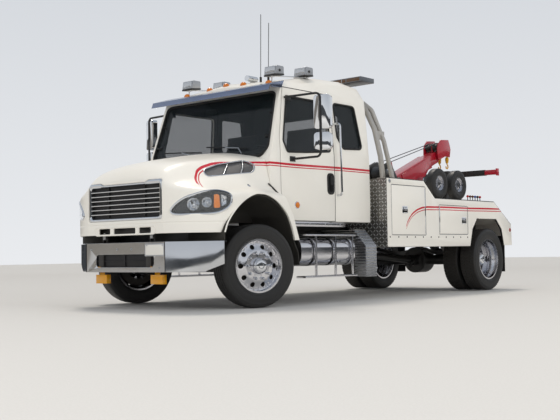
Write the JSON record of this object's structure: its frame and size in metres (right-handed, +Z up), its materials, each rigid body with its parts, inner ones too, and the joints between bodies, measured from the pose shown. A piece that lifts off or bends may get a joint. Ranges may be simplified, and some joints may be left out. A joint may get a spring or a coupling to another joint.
{
  "type": "tow truck",
  "caption": "Medium tow truck with an extended cab, locker body, red recovery boom, folded wheel lift and stowed dolly wheels.",
  "frame": {"origin": "on the ground under the middle of the overall length", "axes": "+X forward, +Y to the left, +Z up"},
  "size_m": [6.955, 3.0974, 3.4801],
  "materials": {
    "white_paint": "gloss",
    "red_paint": "gloss",
    "black_frame": "satin",
    "grey_tube": "satin",
    "bright_steel": "polished",
    "aluminium": "polished",
    "tread_plate": "embossed",
    "tyre": "matte",
    "cast_iron": "rough",
    "glass": "clear",
    "lamp_glass": "clear",
    "black_plastic": "matte",
    "seat_fabric": "woven",
    "amber_lamp": "clear",
    "cylinder_steel": "ground"
  },
  "bodies": {
    "chassis": {"frame": "black_frame", "front_bumper": "bright_steel", "front_axle": "black_frame", "rear_axle": "black_frame", "engine": "cast_iron", "fuel_tanks": "aluminium", "bright_steps": "tread_plate", "cab": "white_paint", "cab_glass": "glass", "visor": "bright_steel", "dashboard": "black_plastic", "seats": "seat_fabric", "antennas": "black_plastic", "cab_rails": "bright_steel", "arch_liners": "black_plastic", "body_side_left": "white_paint", "body_side_right": "white_paint", "bulkhead": "tread_plate", "deck": "tread_plate", "pylon": "grey_tube", "lamps": "amber_lamp", "deck_fittings": "black_frame", "boom_stand": "red_paint"},
    "hood": {"hood": "white_paint", "headlamps": "lamp_glass", "grille": "bright_steel", "hood_screens": "black_plastic"},
    "door_left": {"door_left": "white_paint", "door_glass_left": "glass", "mirror_left": "bright_steel"},
    "door_right": {"door_right": "white_paint", "door_glass_right": "glass", "mirror_right": "bright_steel"},
    "knuckle_left": {"knuckle_left": "black_frame"},
    "knuckle_right": {"knuckle_right": "black_frame"},
    "wheel_front_left": {"tyre_front_left": "tyre", "rim_front_left": "aluminium"},
    "wheel_front_right": {"tyre_front_right": "tyre", "rim_front_right": "aluminium"},
    "wheel_rear_left": {"tyres_rear_left": "tyre", "rim_rear_left": "aluminium"},
    "wheel_rear_right": {"tyres_rear_right": "tyre", "rim_rear_right": "aluminium"},
    "locker_front_left": {"locker_door_front_left": "white_paint"},
    "locker_front_right": {"locker_door_front_right": "white_paint"},
    "locker_middle_left": {"locker_door_middle_left": "white_paint"},
    "locker_middle_right": {"locker_door_middle_right": "white_paint"},
    "boom": {"boom": "red_paint", "winches": "red_paint"},
    "boom_extension": {"boom_inner": "red_paint", "sheaves": "black_frame"},
    "cylinder_barrels": {"cylinder_barrels": "black_frame"},
    "cylinder_rods": {"cylinder_rods": "cylinder_steel"},
    "stinger": {"stinger": "black_frame"},
    "stinger_extension": {"stinger_inner": "black_frame"},
    "crossbar": {"crossbar": "black_frame"},
    "dolly_wheel_front_left": {"dolly_wheel_front_left": "tyre"},
    "dolly_wheel_front_right": {"dolly_wheel_front_right": "tyre"},
    "dolly_wheel_rear_left": {"dolly_wheel_rear_left": "tyre"},
    "dolly_wheel_rear_right": {"dolly_wheel_rear_right": "tyre"}
  },
  "joints": [
    {"name": "steer_left", "type": "hinge", "parent": "chassis", "child": "knuckle_left", "pos_m": [2.4625, 0.88, 0.455], "axis": [0, 0, 1], "range_deg": [-18, 52]},
    {"name": "wheel_front_left", "type": "hinge", "parent": "knuckle_left", "child": "wheel_front_left", "pos_m": [2.4625, 0.88, 0.455], "axis": [0.2924, 0.9563, 0], "continuous": true},
    {"name": "wheel_rear_left", "type": "hinge", "parent": "chassis", "child": "wheel_rear_left", "pos_m": [-2.4675, 1.08, 0.455], "axis": [0, 1, 0], "continuous": true},
    {"name": "door_left", "type": "hinge", "parent": "chassis", "child": "door_left", "pos_m": [2.0205, 1.026, 1.6], "axis": [0, 0, -1], "range_deg": [0, 70]},
    {"name": "locker_front_left", "type": "hinge", "parent": "chassis", "child": "locker_front_left", "pos_m": [-0.7395, 1.2, 1.124], "axis": [0, 0, 1], "range_deg": [0, 90]},
    {"name": "locker_middle_left", "type": "hinge", "parent": "chassis", "child": "locker_middle_left", "pos_m": [-1.0925, 1.2, 1.016], "axis": [0, 0, -1], "range_deg": [0, 90]},
    {"name": "steer_right", "type": "hinge", "parent": "chassis", "child": "knuckle_right", "pos_m": [2.4625, -0.88, 0.455], "axis": [0, 0, 1], "range_deg": [-18, 52]},
    {"name": "wheel_front_right", "type": "hinge", "parent": "knuckle_right", "child": "wheel_front_right", "pos_m": [2.4625, -0.88, 0.455], "axis": [0.2924, 0.9563, 0], "continuous": true},
    {"name": "wheel_rear_right", "type": "hinge", "parent": "chassis", "child": "wheel_rear_right", "pos_m": [-2.4675, -1.08, 0.455], "axis": [0, 1, 0], "continuous": true},
    {"name": "door_right", "type": "hinge", "parent": "chassis", "child": "door_right", "pos_m": [2.0205, -1.026, 1.6], "axis": [0, 0, 1], "range_deg": [0, 70]},
    {"name": "locker_front_right", "type": "hinge", "parent": "chassis", "child": "locker_front_right", "pos_m": [-0.7395, -1.2, 1.124], "axis": [0, 0, -1], "range_deg": [0, 90]},
    {"name": "locker_middle_right", "type": "hinge", "parent": "chassis", "child": "locker_middle_right", "pos_m": [-1.0925, -1.2, 1.016], "axis": [0, 0, 1], "range_deg": [0, 90]},
    {"name": "hood_tilt", "type": "hinge", "parent": "chassis", "child": "hood", "pos_m": [3.4075, 0, 0.785], "axis": [0, 1, 0], "range_deg": [0, 60]},
    {"name": "boom_raise", "type": "hinge", "parent": "chassis", "child": "boom", "pos_m": [-0.7775, 0, 1.24], "axis": [0, 1, 0], "range_deg": [0, 24]},
    {"name": "boom_reach", "type": "slide", "parent": "boom", "child": "boom_extension", "axis": [-0.9304, 0, 0.3665], "range_m": [0, 1.5]},
    {"name": "cylinder_swing", "type": "hinge", "parent": "chassis", "child": "cylinder_barrels", "pos_m": [-1.8175, 0, 1.075], "axis": [0, 1, 0], "range_deg": [0, 30.38]},
    {"name": "cylinder_stroke", "type": "slide", "parent": "cylinder_barrels", "child": "cylinder_rods", "axis": [-0.6258, 0, 0.78], "range_m": [0, 0.42451]},
    {"name": "stinger_fold", "type": "hinge", "parent": "chassis", "child": "stinger", "pos_m": [-3.1575, 0, 0.58], "axis": [0, -1, 0], "range_deg": [0, 90]},
    {"name": "stinger_reach", "type": "slide", "parent": "stinger", "child": "stinger_extension", "axis": [0, 0, 1], "range_m": [0, 0.5]},
    {"name": "crossbar_swivel", "type": "hinge", "parent": "stinger_extension", "child": "crossbar", "pos_m": [-3.4375, 0, 1.82], "axis": [1, 0, 0], "range_deg": [-20, 20]},
    {"name": "dolly_wheel_front_left", "type": "hinge", "parent": "chassis", "child": "dolly_wheel_front_left", "pos_m": [-1.2275, 1.09, 1.52], "axis": [0, 1, 0], "continuous": true},
    {"name": "dolly_wheel_front_right", "type": "hinge", "parent": "chassis", "child": "dolly_wheel_front_right", "pos_m": [-1.2275, -1.09, 1.52], "axis": [0, 1, 0], "continuous": true},
    {"name": "dolly_wheel_rear_left", "type": "hinge", "parent": "chassis", "child": "dolly_wheel_rear_left", "pos_m": [-1.7475, 1.09, 1.52], "axis": [0, 1, 0], "continuous": true},
    {"name": "dolly_wheel_rear_right", "type": "hinge", "parent": "chassis", "child": "dolly_wheel_rear_right", "pos_m": [-1.7475, -1.09, 1.52], "axis": [0, 1, 0], "continuous": true}
  ],
  "couplings": [
    {"joint": "steer_right", "follows": "steer_left", "ratio": 1},
    {"joint": "cylinder_swing", "follows": "boom_raise", "ratio": 1.2659},
    {"joint": "cylinder_stroke", "follows": "boom_raise", "m_per_rad": 1.0134}
  ]
}
